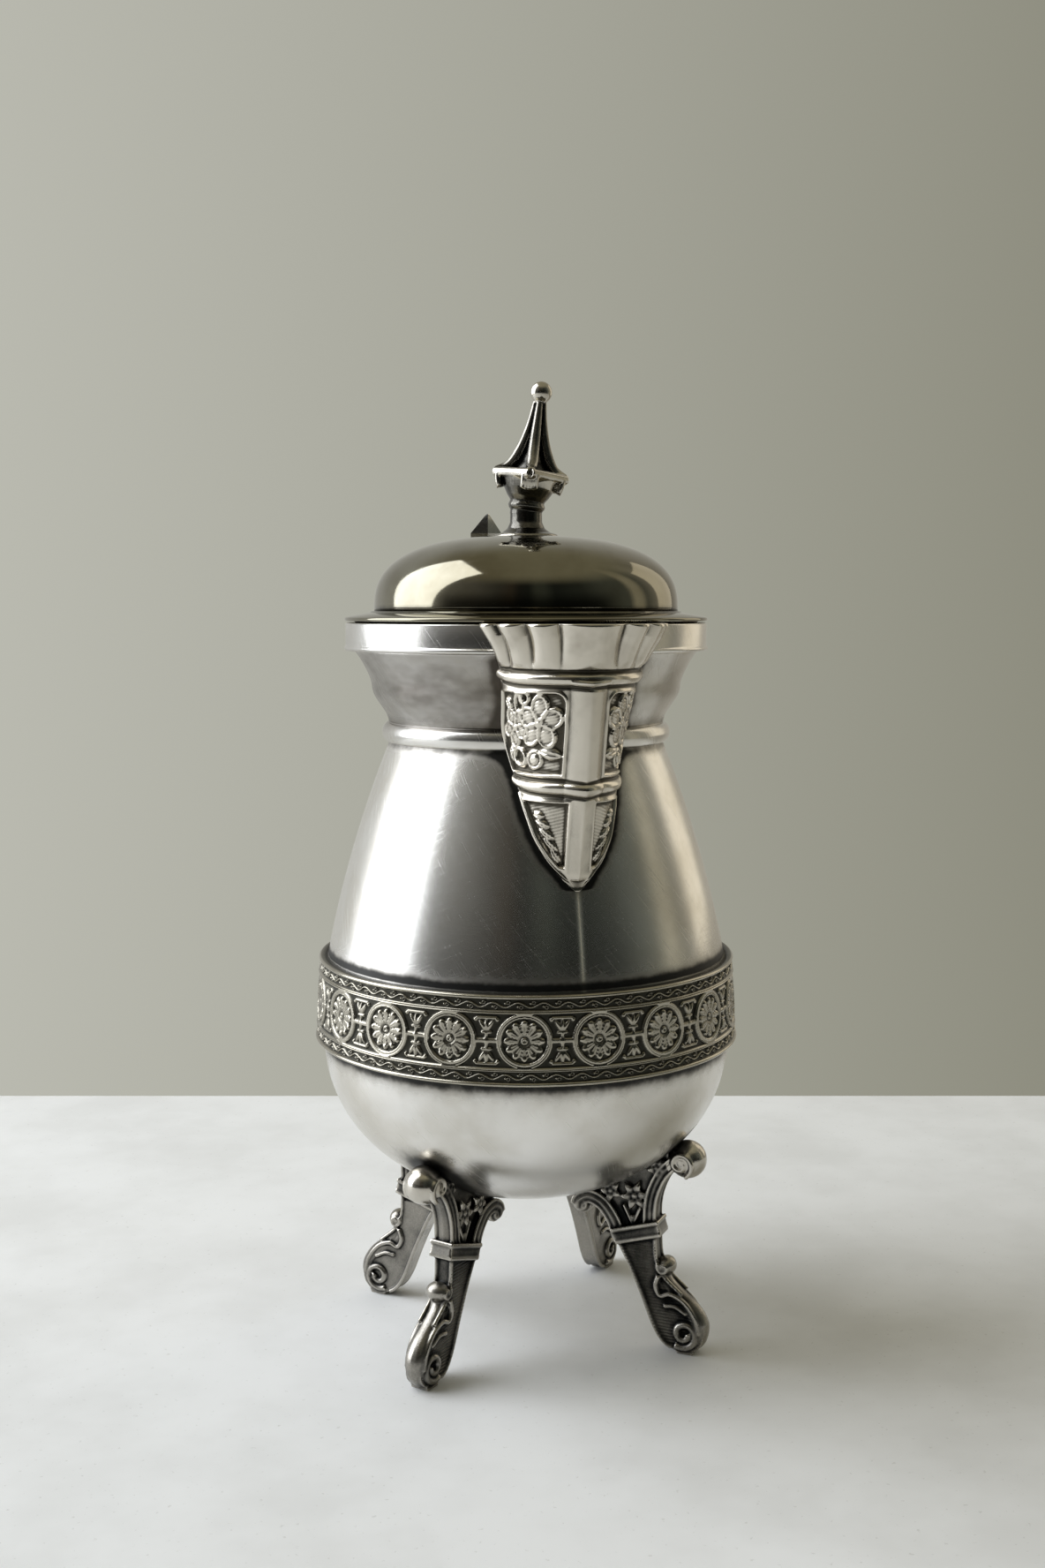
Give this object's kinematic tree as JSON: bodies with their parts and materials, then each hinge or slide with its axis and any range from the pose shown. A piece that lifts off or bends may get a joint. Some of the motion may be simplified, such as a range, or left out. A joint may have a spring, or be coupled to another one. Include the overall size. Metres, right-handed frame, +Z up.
{
  "type": "covered syrup pitcher",
  "caption": "Footed silver-plated table pitcher with a hinged domed lid, a leaning spire finial, a fluted pouring spout, an ornamental band and a handle opposite the spout.",
  "frame": {"origin": "on the table plane, at the centre of the whole object's footprint box; the vessel's own axis is 17 mm towards -Y from it", "axes": "+Z up along the vessel's axis, spout towards -Y, handle towards +Y"},
  "size_m": [0.0844, 0.126, 0.1893],
  "materials": {
    "wall_silver": "worn satin silver plate, fine turning lines and scratches, tarnish beside the joints",
    "relief_silver": "die-rolled and cast relief, dark oxidised ground with rubbed bright edges",
    "cast_silver": "cast and plated, dark in the hollows, bright where hands and cloths rub",
    "lid_silver": "glossy silver plate with light tarnish and fine scratches",
    "pin_steel": "plain drawn wire, dulled",
    "fastener_metal": "dull plated nut and washer"
  },
  "bodies": {
    "vessel": {"bowl_lower": "wall_silver", "body_upper": "wall_silver", "body_band": "relief_silver", "neck_ring": "wall_silver", "collar": "wall_silver", "rim_band": "wall_silver", "spout": "relief_silver", "handle": "cast_silver", "foot_front_left": "cast_silver", "foot_front_right": "cast_silver", "foot_rear_left": "cast_silver", "foot_rear_right": "cast_silver", "hinge_leaf_body": "cast_silver", "hinge_pin": "pin_steel"},
    "lid": {"lid_flange": "lid_silver", "lid_bezel": "lid_silver", "lid_dome": "lid_silver", "finial": "cast_silver", "finial_washer": "fastener_metal", "finial_nut": "fastener_metal", "thumb_piece": "cast_silver", "hinge_leaf_lid": "cast_silver"}
  },
  "joints": [
    {"name": "lid_hinge", "type": "hinge", "parent": "vessel", "child": "lid", "pos_m": [0, 0.0211, 0.1431], "axis": [-1, 0, 0], "range_deg": [0, 100]}
  ]
}
